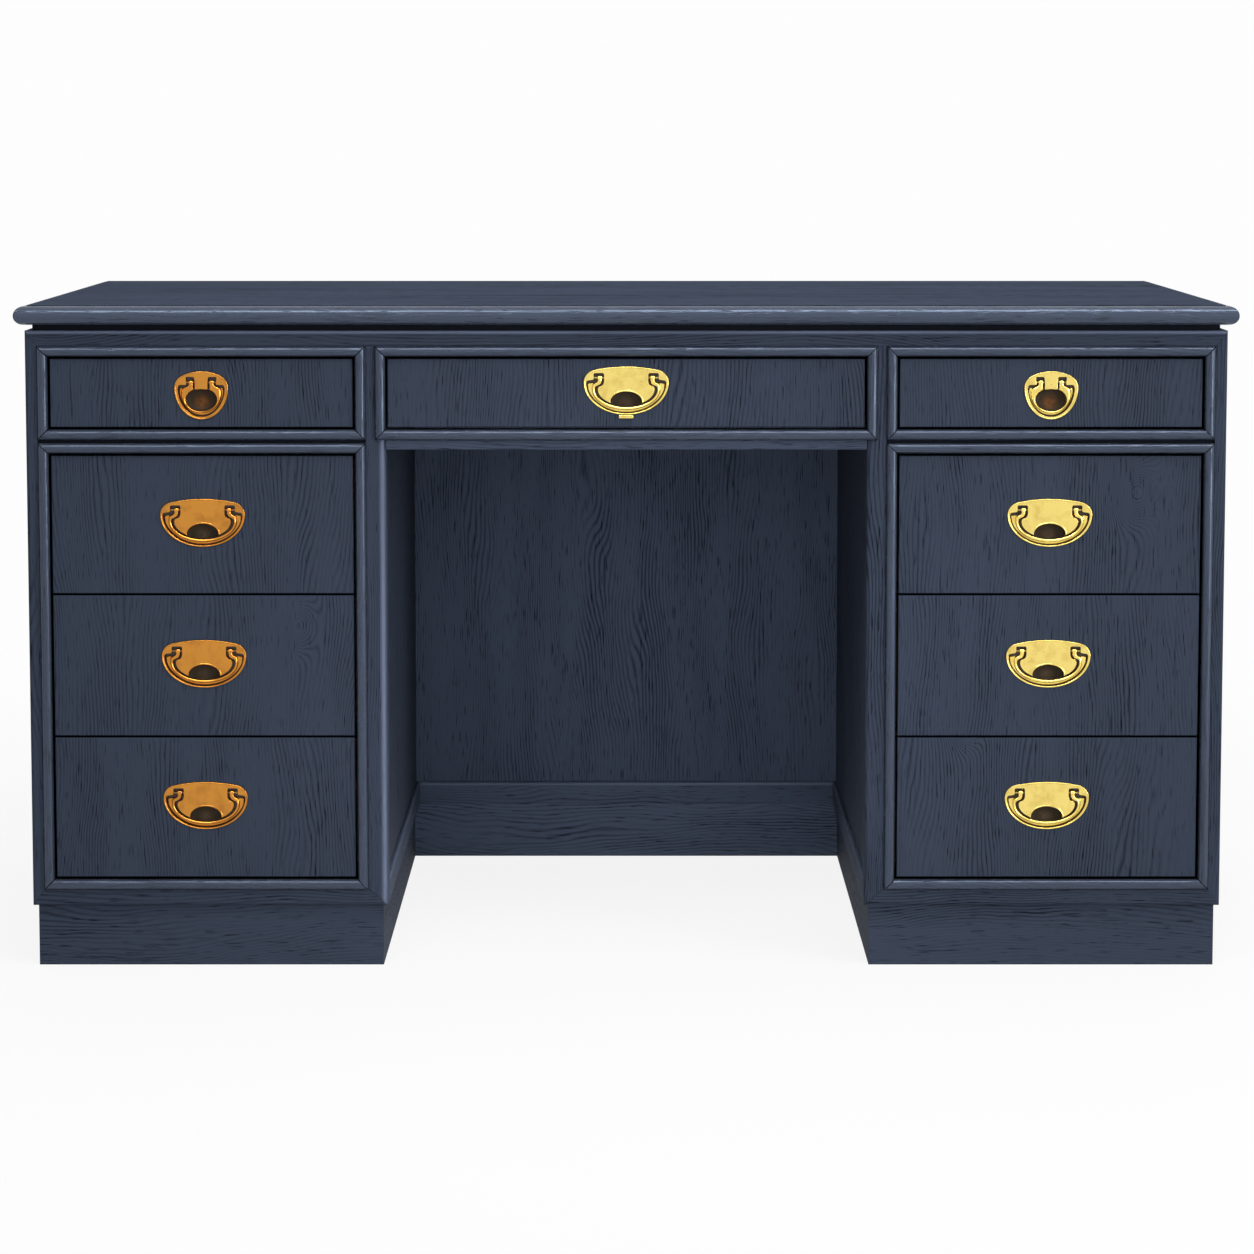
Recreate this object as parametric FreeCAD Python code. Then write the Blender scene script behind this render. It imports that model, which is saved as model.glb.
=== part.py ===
import FreeCAD, Part
import math
import os

# A kneehole writing desk with nine drawers and recessed brass bail pulls.
# Millimetres. X runs to the right, the drawers face -Y, Z is up.
# The origin is on the floor, under the middle of the top board.

V = FreeCAD.Vector
os.makedirs("parts", exist_ok=True)

# Overall size
desk_width = 1384.0
desk_depth = 610.0
desk_height = 762.0

# Top board, its edge moulding and the set-back strip under it
top_thickness = 22.0
nosing_width = 13.5
nosing_drop = 1.0
neck_height = 7.0
neck_setback = 8.0
neck_strip_width = 48.0

# How far the top stands out over the case
side_overhang = 10.0
front_overhang = 14.0
rear_overhang = 8.0

# Face frame and kneehole
frame_thickness = 25.0
outer_stile_width = 13.5
inner_stile_width = 22.3
top_rail_height = 17.2
bottom_rail_height = 18.8
frame_edge_radius = 4.0
kneehole_width = 547.0
kneehole_rail_height = 10.8
kneehole_rail_depth = 70.0

# Beads round the drawer openings
bead_width = 12.0
bead_proud = 5.0
bead_depth = 17.0
bead_groove = 3.2
packing_setback = 3.0
divider_depth = 45.0

# Drawer fronts
front_gap = 2.8
between_gap = 2.5
front_thickness = 20.0
front_setback = 1.0
front_edge_radius = 1.0
top_front_height = 77.6
stack_front_shares = (0.3362, 0.3362, 0.3276)

# Drawer boxes and the runners that carry them
box_lift = 12.0
box_top_drop = 8.0
box_rear_clearance = 65.0
side_thickness = 12.0
bearer_size = 8.0
bottom_thickness = 6.0
runner_clearance = 0.3
runner_height = 10.0
runner_overlap = 10.0

# Side frames, kneehole panels, backs and floors
side_frame_thickness = 20.0
rear_stile_width = 40.0
side_rail_height = 40.0
base_rail_height = 28.0
base_rail_radius = 4.0
panel_recess = 4.5
knee_panel_thickness = 12.0
back_thickness = 12.0
back_rail_thickness = 18.0
floor_thickness = 12.0

# Plinth
plinth_height = 71.0
plinth_thickness = 16.0
plinth_front_setback = 8.0
plinth_outer_setback = 5.5
plinth_knee_setback = 6.0
plinth_rear_setback = 3.0

# Pulls: depths are measured from the face of the plate
plate_proud = 1.5
plate_depth = 11.0
plate_fit = 0.2
channel_depth = 6.2
cup_depth = 9.5
cup_floor_share = 0.9
pin_depth = 3.1
pin_radius = 1.5
pin_reach = 2.6
pin_fit = 0.08
knuckle_radius = 2.8
knuckle_half_width = 2.7
knuckle_drop = 13.0
arm_bend_drop = 17.5
pocket_inner = 4.5
pocket_outer = 6.5
pocket_top = 7.0
pocket_corner = 1.5
plate_chamfer = 0.9
bail_back_depth = 5.9
slot_top = 15.6
tab_width = 16.5
tab_height = 3.8
tab_thickness = 2.4
small_pull_drop = 2.6
centre_pull_rise = 2.8
stack_pull_rise = 2.2

# One overrun serves every cut, so that a cutter stands clear of what it cuts
overrun = 5.0
closeness = 1e-6
quarter_turn = 90

# Straight sides that stand for the curves of a pull
ellipse_sides = 28
shoulder_sides = 4
crown_sides = 6
round_sides = 12

# Sizes of the two pulls. "drop" is a distance down from the top of the plate,
# and a pair is half a width and half a height of an ellipse.
wide_pull = {
    "half_width": 48.3,
    "height": 55.0,
    "widest_drop": 18.5,
    "crown": 4.1,
    "crown_half_width": 37.0,
    "knuckle_x": 30.0,
    "pocket_bottom": 22.5,
    "channel": (45.5, 34.9),
    "channel_drop": 18.5,
    "island": (31.7, 18.7),
    "island_drop": 26.0,
    "bow": (44.7, 34.2),
    "bow_drop": 18.5,
    "ridge_share": 0.868,
    "ridge_drop": 19.9,
    "bail_inner": (35.2, 19.9),
    "bail_drop": 26.0,
    "bail_shoulder": 20.2,
    "arm_foot_x": 36.0,
    "arm_foot_drop": 24.5,
    "cup": (18.0, 11.7),
    "cup_drop": 40.0,
}
small_pull = {
    "half_width": 30.6,
    "height": 55.0,
    "widest_drop": 19.0,
    "crown": 4.8,
    "crown_half_width": 21.3,
    "knuckle_x": 11.3,
    "pocket_bottom": 21.0,
    "channel": (26.7, 33.0),
    "channel_drop": 19.0,
    "island": (6.8, 5.5),
    "island_drop": 15.6,
    "bow": (25.3, 28.4),
    "bow_drop": 22.0,
    "ridge_share": 0.9,
    "ridge_drop": 22.2,
    "bail_inner": (17.6, 12.9),
    "bail_drop": 32.5,
    "bail_shoulder": 18.6,
    "arm_foot_x": 18.5,
    "arm_foot_drop": 23.5,
    "cup": (17.0, 12.3),
    "cup_drop": 32.5,
}

# Planes and edges that several pieces share
top_underside = desk_height - top_thickness
case_top = top_underside - neck_height
case_bottom = plinth_height
case_half = desk_width / 2 - side_overhang
case_front = -desk_depth / 2 + front_overhang
case_back = desk_depth / 2 - rear_overhang
frame_back = case_front + frame_thickness
knee_half = kneehole_width / 2
knee_panel_face = knee_half + panel_recess
knee_panel_back = knee_panel_face + knee_panel_thickness
side_frame_inner = case_half - side_frame_thickness
base_rail_top = case_bottom + base_rail_height
back_front = case_back - back_thickness
front_face = case_front + front_setback
front_back = front_face + front_thickness

# Clear openings inside the beads
outer_opening = case_half - outer_stile_width - bead_width
inner_opening = knee_half + inner_stile_width + bead_width
top_opening_high = case_top - top_rail_height - bead_width
top_opening_low = top_opening_high - top_front_height - 2 * front_gap
stack_opening_high = top_opening_low - 2 * bead_width - bead_groove
stack_opening_low = case_bottom + bottom_rail_height + bead_width
groove_low = stack_opening_high + bead_width
groove_high = top_opening_low - bead_width


def board(x, y, z):
    """A board that fills three (low, high) ranges."""
    return Part.makeBox(x[1] - x[0], y[1] - y[0], z[1] - z[0], V(x[0], y[0], z[0]))


def prism(points, along):
    """A solid whose end face is a polygon, extruded by a vector."""
    return Part.Face(Part.makePolygon(points + points[:1])).extrude(along)


def front_prism(points, y):
    """A polygon of (x, z) points, seen from the front, between two depths."""
    return prism([V(px, y[0], pz) for px, pz in points], V(0, y[1] - y[0], 0))


def plan_prism(points, z):
    """A polygon of (x, y) points, seen from above, between two heights."""
    return prism([V(px, py, z[0]) for px, py in points], V(0, 0, z[1] - z[0]))


def mirrored(shape):
    """The same piece on the other side of the desk."""
    return shape.mirror(V(0, 0, 0), V(1, 0, 0))


def pair(shape):
    """A right-hand piece and its left-hand twin."""
    return [mirrored(shape), shape]


def on_side(shape, side):
    """The piece on the named side. It is drawn on the right."""
    return shape if side == "right" else mirrored(shape)


def lies_at(point, x, y, z):
    """True where the point is at each place that is given."""
    wanted = ((point.x, x), (point.y, y), (point.z, z))
    return all(place is None or abs(value - place) < closeness for value, place in wanted)


def rounded(shape, radius, x=None, y=None, z=None):
    """The shape with the edges that lie at the given places rounded."""
    edges = []
    for edge in shape.Edges:
        if all(lies_at(vertex.Point, x, y, z) for vertex in edge.Vertexes):
            edges.append(edge)
    return shape.makeFillet(radius, edges)


def write(name, solids):
    """Writes one node: a solid, or a group of separate solids."""
    shape = solids[0] if len(solids) == 1 else Part.Compound(solids)
    shape.exportStep("parts/" + name + ".step")


def mitred_boards(x, y, z, width):
    """Four mitred boards that go round the inside of a plan rectangle."""
    outer = [(x[0], y[0]), (x[1], y[0]), (x[1], y[1]), (x[0], y[1])]
    inner = [
        (x[0] + width, y[0] + width),
        (x[1] - width, y[0] + width),
        (x[1] - width, y[1] - width),
        (x[0] + width, y[1] - width),
    ]
    boards = []
    for corner in range(4):
        after = (corner + 1) % 4
        boards.append(plan_prism([outer[corner], outer[after], inner[after], inner[corner]], z))
    return boards


def top_panel():
    x = desk_width / 2 - nosing_width
    y = desk_depth / 2 - nosing_width
    return [board((-x, x), (-y, y), (top_underside, desk_height))]


def nosing_bar(length, outer):
    """The half-round edge moulding, drawn along X with its nose at y = outer."""
    thickness = top_thickness - nosing_drop
    radius = thickness / 2
    back = outer + nosing_width
    shoulder = outer + radius
    low = top_underside
    high = top_underside + thickness
    start = -length / 2
    edges = [
        Part.makeLine(V(start, back, low), V(start, shoulder, low)),
        Part.Arc(V(start, shoulder, low), V(start, outer, low + radius), V(start, shoulder, high)).toShape(),
        Part.makeLine(V(start, shoulder, high), V(start, back, high)),
        Part.makeLine(V(start, back, high), V(start, back, low)),
    ]
    return Part.Face(Part.Wire(edges)).extrude(V(length, 0, 0))


def top_nosing():
    half_x = desk_width / 2
    half_y = desk_depth / 2
    mitres = mitred_boards((-half_x, half_x), (-half_y, half_y), (top_underside, desk_height), nosing_width)
    bars = []
    for turn, mitre in enumerate(mitres):
        length, reach = (desk_width, half_y) if turn % 2 == 0 else (desk_depth, half_x)
        bar = nosing_bar(length, -reach)
        bar.rotate(V(0, 0, 0), V(0, 0, 1), quarter_turn * turn)
        bars.append(bar.common(mitre).Solids[0])
    return bars


def neck_strips():
    """Strips under the front, the rear and the two sides of the top."""
    x = case_half - neck_setback
    y = (case_front + neck_setback, case_back - neck_setback)
    z = (case_top, top_underside)
    side_y = (y[0] + neck_strip_width, y[1] - neck_strip_width)
    front = board((-x, x), (y[0], side_y[0]), z)
    rear = board((-x, x), (side_y[1], y[1]), z)
    return [front, rear] + pair(board((x - neck_strip_width, x), side_y, z))


def face_top_rail():
    inner = case_half - outer_stile_width
    low = case_top - top_rail_height
    outline = [(-case_half, case_top), (-inner, low), (inner, low), (case_half, case_top)]
    rail = front_prism(outline, (case_front, frame_back))
    return [rounded(rail, frame_edge_radius, y=case_front, z=case_top)]


def outer_stiles():
    inner = case_half - outer_stile_width
    outline = [
        (case_half, case_bottom),
        (case_half, case_top),
        (inner, case_top - top_rail_height),
        (inner, case_bottom + bottom_rail_height),
    ]
    stile = front_prism(outline, (case_front, frame_back))
    return pair(rounded(stile, frame_edge_radius, x=case_half, y=case_front))


def inner_stiles():
    outer = knee_half + inner_stile_width
    notch = knee_half + bead_width
    outline = [
        (knee_half, case_bottom),
        (outer, case_bottom + bottom_rail_height),
        (outer, case_top - top_rail_height),
        (notch, case_top - top_rail_height),
        (notch, groove_high),
        (knee_half, groove_high),
    ]
    stile = front_prism(outline, (case_front, frame_back))
    return pair(rounded(stile, frame_edge_radius, x=knee_half, y=case_front))


def face_bottom_rails():
    high = case_bottom + bottom_rail_height
    outline = [
        (knee_half, case_bottom),
        (case_half, case_bottom),
        (case_half - outer_stile_width, high),
        (knee_half + inner_stile_width, high),
    ]
    rail = front_prism(outline, (case_front, frame_back))
    return pair(rounded(rail, frame_edge_radius, y=case_front, z=case_bottom))


def kneehole_rail():
    z = (groove_high - kneehole_rail_height, groove_high)
    return [board((-knee_half, knee_half), (case_front, case_front + kneehole_rail_depth), z)]


def divider_rails():
    """Between the upper drawer and the stack: a packing strip and the rail behind it."""
    low_x = knee_half + inner_stile_width
    high_x = case_half - outer_stile_width
    strip = board((low_x, high_x), (case_front + packing_setback, frame_back), (groove_low, groove_high))
    rail_y = (frame_back, frame_back + divider_depth)
    rail = board((knee_panel_back, side_frame_inner), rail_y, (stack_opening_high, top_opening_low))
    return pair(strip) + pair(rail)


def bead_bar(length):
    """A half-round bead along X, its foot on z = 0."""
    shoulder = case_front - bead_proud + bead_width / 2
    back = case_front + bead_depth
    nose = case_front - bead_proud
    edges = [
        Part.makeLine(V(0, back, 0), V(0, shoulder, 0)),
        Part.Arc(V(0, shoulder, 0), V(0, nose, bead_width / 2), V(0, shoulder, bead_width)).toShape(),
        Part.makeLine(V(0, shoulder, bead_width), V(0, back, bead_width)),
        Part.makeLine(V(0, back, bead_width), V(0, back, 0)),
    ]
    return Part.Face(Part.Wire(edges)).extrude(V(length, 0, 0))


def bead_frame(x, z):
    """Four mitred beads round a clear opening."""
    outer = [
        (x[0] - bead_width, z[0] - bead_width),
        (x[1] + bead_width, z[0] - bead_width),
        (x[1] + bead_width, z[1] + bead_width),
        (x[0] - bead_width, z[1] + bead_width),
    ]
    inner = [(x[0], z[0]), (x[1], z[0]), (x[1], z[1]), (x[0], z[1])]
    y = (case_front - overrun - bead_proud, case_front + bead_depth)
    beads = []
    for corner in range(4):
        after = (corner + 1) % 4
        start = outer[corner]
        length = max(abs(outer[after][0] - start[0]), abs(outer[after][1] - start[1]))
        bar = bead_bar(length)
        bar.rotate(V(0, 0, 0), V(0, 1, 0), -quarter_turn * corner)
        bar.translate(V(start[0], 0, start[1]))
        mitre = front_prism([start, outer[after], inner[after], inner[corner]], y)
        beads.append(bar.common(mitre).Solids[0])
    return beads


def side_opening(side, z):
    """The clear opening of a pedestal, on the named side, between two heights."""
    x = (inner_opening, outer_opening)
    return (x if side == "right" else (-x[1], -x[0])), z


def bead_frames(side):
    top = bead_frame(*side_opening(side, (top_opening_low, top_opening_high)))
    stack = bead_frame(*side_opening(side, (stack_opening_low, stack_opening_high)))
    return top + stack


def bead_frame_centre():
    return bead_frame((-knee_half, knee_half), (top_opening_low, top_opening_high))


def side_frame(side):
    """Outer side of a pedestal: two rails, a rear stile and a panel set back from them."""
    x = (side_frame_inner, case_half)
    panel_y = (frame_back, case_back - rear_stile_width)
    rail_low = case_top - side_rail_height
    top_rail = board(x, (frame_back, case_back), (rail_low, case_top))
    bottom_rail = board(x, (frame_back, case_back), (case_bottom, base_rail_top))
    bottom_rail = rounded(bottom_rail, base_rail_radius, x=case_half, z=base_rail_top)
    rear_stile = board(x, (panel_y[1], case_back), (base_rail_top, rail_low))
    panel = board((x[0], x[1] - panel_recess), panel_y, (base_rail_top, rail_low))
    return [on_side(piece, side) for piece in (top_rail, bottom_rail, rear_stile, panel)]


def kneehole_panels():
    panel = board((knee_panel_face, knee_panel_back), (frame_back, case_back), (base_rail_top, case_top))
    return pair(panel)


def kneehole_base_rails():
    """Rails along the foot of the kneehole, on both sides and across the back."""
    z = (case_bottom, base_rail_top)
    back_y = (case_back - back_rail_thickness, case_back)
    side = board((knee_half, knee_panel_back), (frame_back, case_back), z)
    back = board((-knee_half, knee_half), back_y, z)
    side = rounded(side, base_rail_radius, x=knee_half, z=base_rail_top)
    return pair(side) + [rounded(back, base_rail_radius, y=back_y[0], z=base_rail_top)]


def modesty_panel():
    x = (-knee_panel_face, knee_panel_face)
    return [board(x, (back_front, case_back), (base_rail_top, case_top))]


def pedestal_backs():
    x = (knee_panel_back, side_frame_inner)
    return pair(board(x, (back_front, case_back), (case_bottom, case_top)))


def pedestal_floors():
    high = case_bottom + bottom_rail_height
    x = (knee_panel_back, side_frame_inner)
    return pair(board(x, (frame_back, back_front), (high - floor_thickness, high)))


def plinths():
    x = (knee_half + plinth_knee_setback, case_half - plinth_outer_setback)
    y = (case_front + plinth_front_setback, case_back - plinth_rear_setback)
    right = mitred_boards(x, y, (0, plinth_height), plinth_thickness)
    left = [mirrored(piece) for piece in right]
    return left + right


def kneehole_plinth():
    x = knee_half + plinth_knee_setback
    rear = case_back - plinth_rear_setback
    return [board((-x, x), (rear - plinth_thickness, rear), (0, plinth_height))]


def stack_fronts():
    """The (low, high) heights of the three fronts of a stack, lowest first."""
    room = stack_opening_high - stack_opening_low - 2 * front_gap - 2 * between_gap
    fronts = []
    low = stack_opening_low + front_gap
    for share in stack_front_shares:
        high = low + room * share
        fronts.append((low, high))
        low = high + between_gap
    return fronts


def drawer_places():
    """Every drawer: its name, the (low, high) ranges of its front, its pull and the pull's rise."""
    top_z = (top_opening_low + front_gap, top_opening_high - front_gap)
    right_x = (inner_opening + front_gap, outer_opening - front_gap)
    left_x = (-right_x[1], -right_x[0])
    centre_x = (front_gap - knee_half, knee_half - front_gap)
    places = [
        ("top_left", left_x, top_z, small_pull, -small_pull_drop),
        ("top_centre", centre_x, top_z, wide_pull, centre_pull_rise),
        ("top_right", right_x, top_z, small_pull, -small_pull_drop),
    ]
    for side, x in (("left", left_x), ("right", right_x)):
        for level, z in zip(("low", "middle", "high"), stack_fronts()):
            places.append((side + "_" + level, x, z, wide_pull, stack_pull_rise))
    return places


def runner_pair(x, z, walls):
    """Two runners under the sides of one drawer, out to the walls that hold them."""
    high = z[0] + box_lift - runner_clearance
    heights = (high - runner_height, high)
    depth = (frame_back, back_front)
    left = board((walls[0], x[0] + runner_overlap), depth, heights)
    right = board((x[1] - runner_overlap, walls[1]), depth, heights)
    return [left, right]


def drawer_runners():
    runners = []
    for name, x, z, pull, rise in drawer_places():
        if name == "top_centre":
            walls = (-knee_panel_face, knee_panel_face)
        elif x[0] > 0:
            walls = (knee_panel_back, side_frame_inner)
        else:
            walls = (-side_frame_inner, -knee_panel_back)
        runners += runner_pair(x, z, walls)
    return runners


def drawer_box(x, z):
    """Two sides, a back, a bottom, and two bearers under the bottom."""
    low = z[0] + box_lift
    high = z[1] - box_top_drop
    y = (front_back, back_front - box_rear_clearance)
    inner = (x[0] + side_thickness, x[1] - side_thickness)
    inner_y = (y[0], y[1] - side_thickness)
    bearer_z = (low, low + bearer_size)
    bottom_z = (bearer_z[1], bearer_z[1] + bottom_thickness)
    return [
        board((x[0], inner[0]), y, (low, high)),
        board((inner[1], x[1]), y, (low, high)),
        board(inner, (inner_y[1], y[1]), (low, high)),
        board(inner, inner_y, bottom_z),
        board((inner[0], inner[0] + bearer_size), inner_y, bearer_z),
        board((inner[1] - bearer_size, inner[1]), inner_y, bearer_z),
    ]


def ellipse_points(half, drop, depth, start=0, turn=2 * math.pi):
    """Points round an ellipse in the plane of a plate, or round part of it."""
    across, up = half
    sides = round(ellipse_sides * turn / (2 * math.pi))
    angles = [start + turn * step / sides for step in range(sides)]
    return [V(across * math.cos(angle), depth, up * math.sin(angle) - drop) for angle in angles]


def ellipse_prism(half, drop, depth):
    """A straight elliptical solid between two depths."""
    return prism(ellipse_points(half, drop, depth[0]), V(0, depth[1] - depth[0], 0))


def tapered_ellipse(half, drop, depth, end_share, end_drop):
    """A solid that runs from one ellipse to a smaller one of the same shape."""
    end_half = (half[0] * end_share, half[1] * end_share)
    start = ellipse_points(half, drop, depth[0])
    end = ellipse_points(end_half, end_drop, depth[1])
    outlines = [start, end]
    for corner in range(ellipse_sides):
        outlines.append([start[corner - 1], start[corner], end[corner], end[corner - 1]])
    faces = [Part.Face(Part.makePolygon(points + points[:1])) for points in outlines]
    return Part.Solid(Part.Shell(faces))


def plate_outline(pull, grow, depth):
    """Shallow crown, two shoulder arcs that end upright at the widest place, and a half ellipse."""
    half = pull["half_width"] + grow
    crown_x = pull["crown_half_width"]
    rise = pull["widest_drop"] - pull["crown"] + grow
    inset = half - crown_x
    shoulder = (inset ** 2 + rise ** 2) / (2 * inset)
    shoulder_x = half - shoulder
    shoulder_turn = math.atan2(rise, crown_x - shoulder_x)
    crown = (crown_x ** 2 + pull["crown"] ** 2) / (2 * pull["crown"])
    crown_turn = math.asin(crown_x / crown)
    points = []
    for step in range(shoulder_sides):
        angle = shoulder_turn * step / shoulder_sides
        points.append((shoulder_x + shoulder * math.cos(angle), shoulder * math.sin(angle) - pull["widest_drop"]))
    for step in range(crown_sides // 2):
        angle = crown_turn * (1 - 2 * step / crown_sides)
        points.append((crown * math.sin(angle), crown * math.cos(angle) - crown + grow))
    left = [(-px, pz) for px, pz in reversed(points)]
    outline = [V(px, depth, pz) for px, pz in points + [(0, grow)] + left]
    belly = (half, pull["height"] - pull["widest_drop"] + grow)
    return outline[:-1] + ellipse_points(belly, pull["widest_drop"], depth, math.pi, math.pi)


def plate_block(pull, grow, depth):
    """The plate's outline, grown by a fit, between two depths."""
    return prism(plate_outline(pull, grow, depth[0]), V(0, depth[1] - depth[0], 0))


def knuckle_pocket(pull):
    x = (pull["knuckle_x"] - pocket_inner, pull["knuckle_x"] + pocket_outer)
    z = (-pull["pocket_bottom"], -pocket_top)
    outline = [
        (x[0], z[0] + pocket_corner),
        (x[0], z[1] - pocket_corner),
        (x[0] + pocket_corner, z[1]),
        (x[1] - pocket_corner, z[1]),
        (x[1], z[1] - pocket_corner),
        (x[1], z[0]),
        (x[0] + pocket_corner, z[0]),
    ]
    return front_prism(outline, (-overrun, channel_depth))


def channel(pull):
    """The hollow that the bail lies in: a crescent below the slots and a pocket for each knuckle."""
    depth = (-overrun, channel_depth)
    crescent = ellipse_prism(pull["channel"], pull["channel_drop"], depth)
    half = pull["half_width"]
    above = board((-half, half), depth, (-slot_top, pull["height"]))
    crescent = crescent.cut(above).cut(ellipse_prism(pull["island"], pull["island_drop"], depth))
    pocket = knuckle_pocket(pull)
    return crescent.fuse([pocket, mirrored(pocket)])


def finger_cup(pull):
    return tapered_ellipse(pull["cup"], pull["cup_drop"], (0, cup_depth), cup_floor_share, pull["cup_drop"])


def round_bar(x, radius):
    """A round bar between two places along X, on the axis that the bail turns about."""
    points = []
    for side in range(round_sides):
        angle = 2 * math.pi * side / round_sides
        points.append(V(x[0], pin_depth + radius * math.cos(angle), radius * math.sin(angle) - knuckle_drop))
    return prism(points, V(x[1] - x[0], 0, 0))


def pin(pull, radius, end_gap):
    """A pin from the middle of the right knuckle into the wall of its pocket."""
    knuckle = pull["knuckle_x"]
    return round_bar((knuckle, knuckle + pocket_outer + pin_reach + end_gap), radius)


def pull_plate(pull):
    """The cast plate, let into the drawer front: channel, knuckle pockets, finger cup, pin holes."""
    plate = plate_block(pull, 0, (0, plate_depth))
    rim = [edge for edge in plate.Edges if all(abs(v.Point.y) < closeness for v in edge.Vertexes)]
    plate = plate.makeChamfer(plate_chamfer, rim)
    plate = plate.cut(channel(pull)).cut(finger_cup(pull))
    hole = pin(pull, (pin_radius + pin_fit) / math.cos(math.pi / round_sides), pin_fit)
    return plate.cut([hole, mirrored(hole)])


def bail_arm(pull):
    """The right arm: from the knuckle straight down, then out to the bow."""
    knuckle = pull["knuckle_x"]
    foot = pull["arm_foot_x"]
    outline = [
        (knuckle - knuckle_half_width, -knuckle_drop),
        (knuckle + knuckle_half_width, -knuckle_drop),
        (knuckle + knuckle_half_width, -arm_bend_drop),
        (foot + knuckle_half_width, -pull["arm_foot_drop"]),
        (foot, -pull["arm_foot_drop"]),
        (knuckle - knuckle_half_width, -arm_bend_drop),
    ]
    arm = front_prism(outline, (0, bail_back_depth))
    boss = round_bar((knuckle - knuckle_half_width, knuckle + knuckle_half_width), knuckle_radius)
    return arm.fuse([boss, pin(pull, pin_radius, 0)])


def pull_bail(pull):
    """The bail: a bow whose flank slopes out from a ridge at its inner edge, two arms, two pins."""
    depth = (bail_back_depth, 0)
    bow = tapered_ellipse(pull["bow"], pull["bow_drop"], depth, pull["ridge_share"], pull["ridge_drop"])
    eye = ellipse_prism(pull["bail_inner"], pull["bail_drop"], (-overrun, bail_back_depth + overrun))
    half = pull["half_width"]
    depth = (-overrun, bail_back_depth + overrun)
    above = board((-half, half), depth, (-pull["bail_shoulder"], pull["height"]))
    gap_half = pull["knuckle_x"] - knuckle_half_width
    gap = board((-gap_half, gap_half), depth, (-pull["bail_drop"], pull["height"]))
    arm = bail_arm(pull)
    bail = bow.cut([eye, above, gap]).fuse([arm, mirrored(arm)])
    return bail.removeSplitter()


def at_pull(shape, x, z, pull, rise):
    """Moves a piece of a pull from its own axes to its place on a drawer front."""
    moved = shape.copy()
    middle_z = (z[0] + z[1]) / 2
    moved.translate(V((x[0] + x[1]) / 2, front_face - plate_proud, middle_z + rise + pull["height"] / 2))
    return moved


def drawer_front(x, z, pull, rise):
    front = board(x, (front_face, front_back), z)
    front = rounded(front, front_edge_radius, y=front_face)
    mortise = plate_block(pull, plate_fit, (-overrun, plate_depth))
    return front.cut(at_pull(mortise, x, z, pull, rise))


def pull_tab(pull):
    """The small tab under the plate of the centre pull, flat on the drawer front."""
    high = -pull["height"] - runner_clearance
    depth = (plate_proud - tab_thickness, plate_proud)
    return board((-tab_width / 2, tab_width / 2), depth, (high - tab_height, high))


def write_drawer(name, x, z, pull, rise):
    write("drawer_front_" + name, drawer_front(x, z, pull, rise).Solids)
    write("drawer_box_" + name, drawer_box(x, z))
    plate = [at_pull(pull_plate(pull), x, z, pull, rise)]
    if name == "top_centre":
        plate.append(at_pull(pull_tab(pull), x, z, pull, rise))
    write("pull_plate_" + name, plate)
    write("pull_bail_" + name, [at_pull(pull_bail(pull), x, z, pull, rise)])


def write_case():
    write("top_panel", top_panel())
    write("top_nosing", top_nosing())
    write("neck_strips", neck_strips())
    write("face_top_rail", face_top_rail())
    write("outer_stiles", outer_stiles())
    write("inner_stiles", inner_stiles())
    write("face_bottom_rails", face_bottom_rails())
    write("kneehole_rail", kneehole_rail())
    write("divider_rails", divider_rails())
    write("bead_frames_left", bead_frames("left"))
    write("bead_frame_centre", bead_frame_centre())
    write("bead_frames_right", bead_frames("right"))
    write("side_frame_left", side_frame("left"))
    write("side_frame_right", side_frame("right"))
    write("kneehole_panels", kneehole_panels())
    write("kneehole_base_rails", kneehole_base_rails())
    write("modesty_panel", modesty_panel())
    write("pedestal_backs", pedestal_backs())
    write("pedestal_floors", pedestal_floors())
    write("plinths", plinths())
    write("kneehole_plinth", kneehole_plinth())
    write("drawer_runners", drawer_runners())


write_case()
for place in drawer_places():
    write_drawer(*place)
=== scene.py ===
# %% [markdown]
# # A kneehole writing desk in blue stained oak
# The desk is solid joinery: two stacks of drawers, a rail of three drawers over the knees, half-round beads
# round every opening, a moulded top and a low plinth. The frame that is loaded here already has each board
# at its real size and each drawer on its runners, so this lesson is about what the eye adds: grain, stain,
# soft edges, turned mouldings and cast brass.

# %% Load the joinery
import math
import random

import bmesh
import bpy
from mathutils import Matrix, Vector


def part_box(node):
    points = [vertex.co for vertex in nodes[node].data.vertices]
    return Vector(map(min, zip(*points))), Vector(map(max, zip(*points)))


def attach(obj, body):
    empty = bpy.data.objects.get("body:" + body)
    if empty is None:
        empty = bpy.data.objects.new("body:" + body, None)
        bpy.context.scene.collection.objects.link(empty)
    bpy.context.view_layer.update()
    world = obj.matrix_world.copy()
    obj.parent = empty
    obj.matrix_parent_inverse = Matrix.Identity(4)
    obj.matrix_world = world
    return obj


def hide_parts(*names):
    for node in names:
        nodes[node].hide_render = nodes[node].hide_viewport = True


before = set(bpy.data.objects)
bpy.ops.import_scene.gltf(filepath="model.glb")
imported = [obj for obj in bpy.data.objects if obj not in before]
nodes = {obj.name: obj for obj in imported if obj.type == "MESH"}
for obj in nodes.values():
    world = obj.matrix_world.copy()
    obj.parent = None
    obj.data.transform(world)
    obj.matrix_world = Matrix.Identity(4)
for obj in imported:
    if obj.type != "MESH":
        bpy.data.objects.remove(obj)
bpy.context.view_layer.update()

# %% [markdown]
# ## Where the eye stands
# The picture looks at the middle of the desk from about four metres away and a little above the top,
# through a long lens, so that the drawer fronts show no slant. A lens of 93 mm on a 36 mm square does the
# same. The small downward tilt and shift were fitted to the corners of the top, the plinth and the knee
# space.

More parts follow.
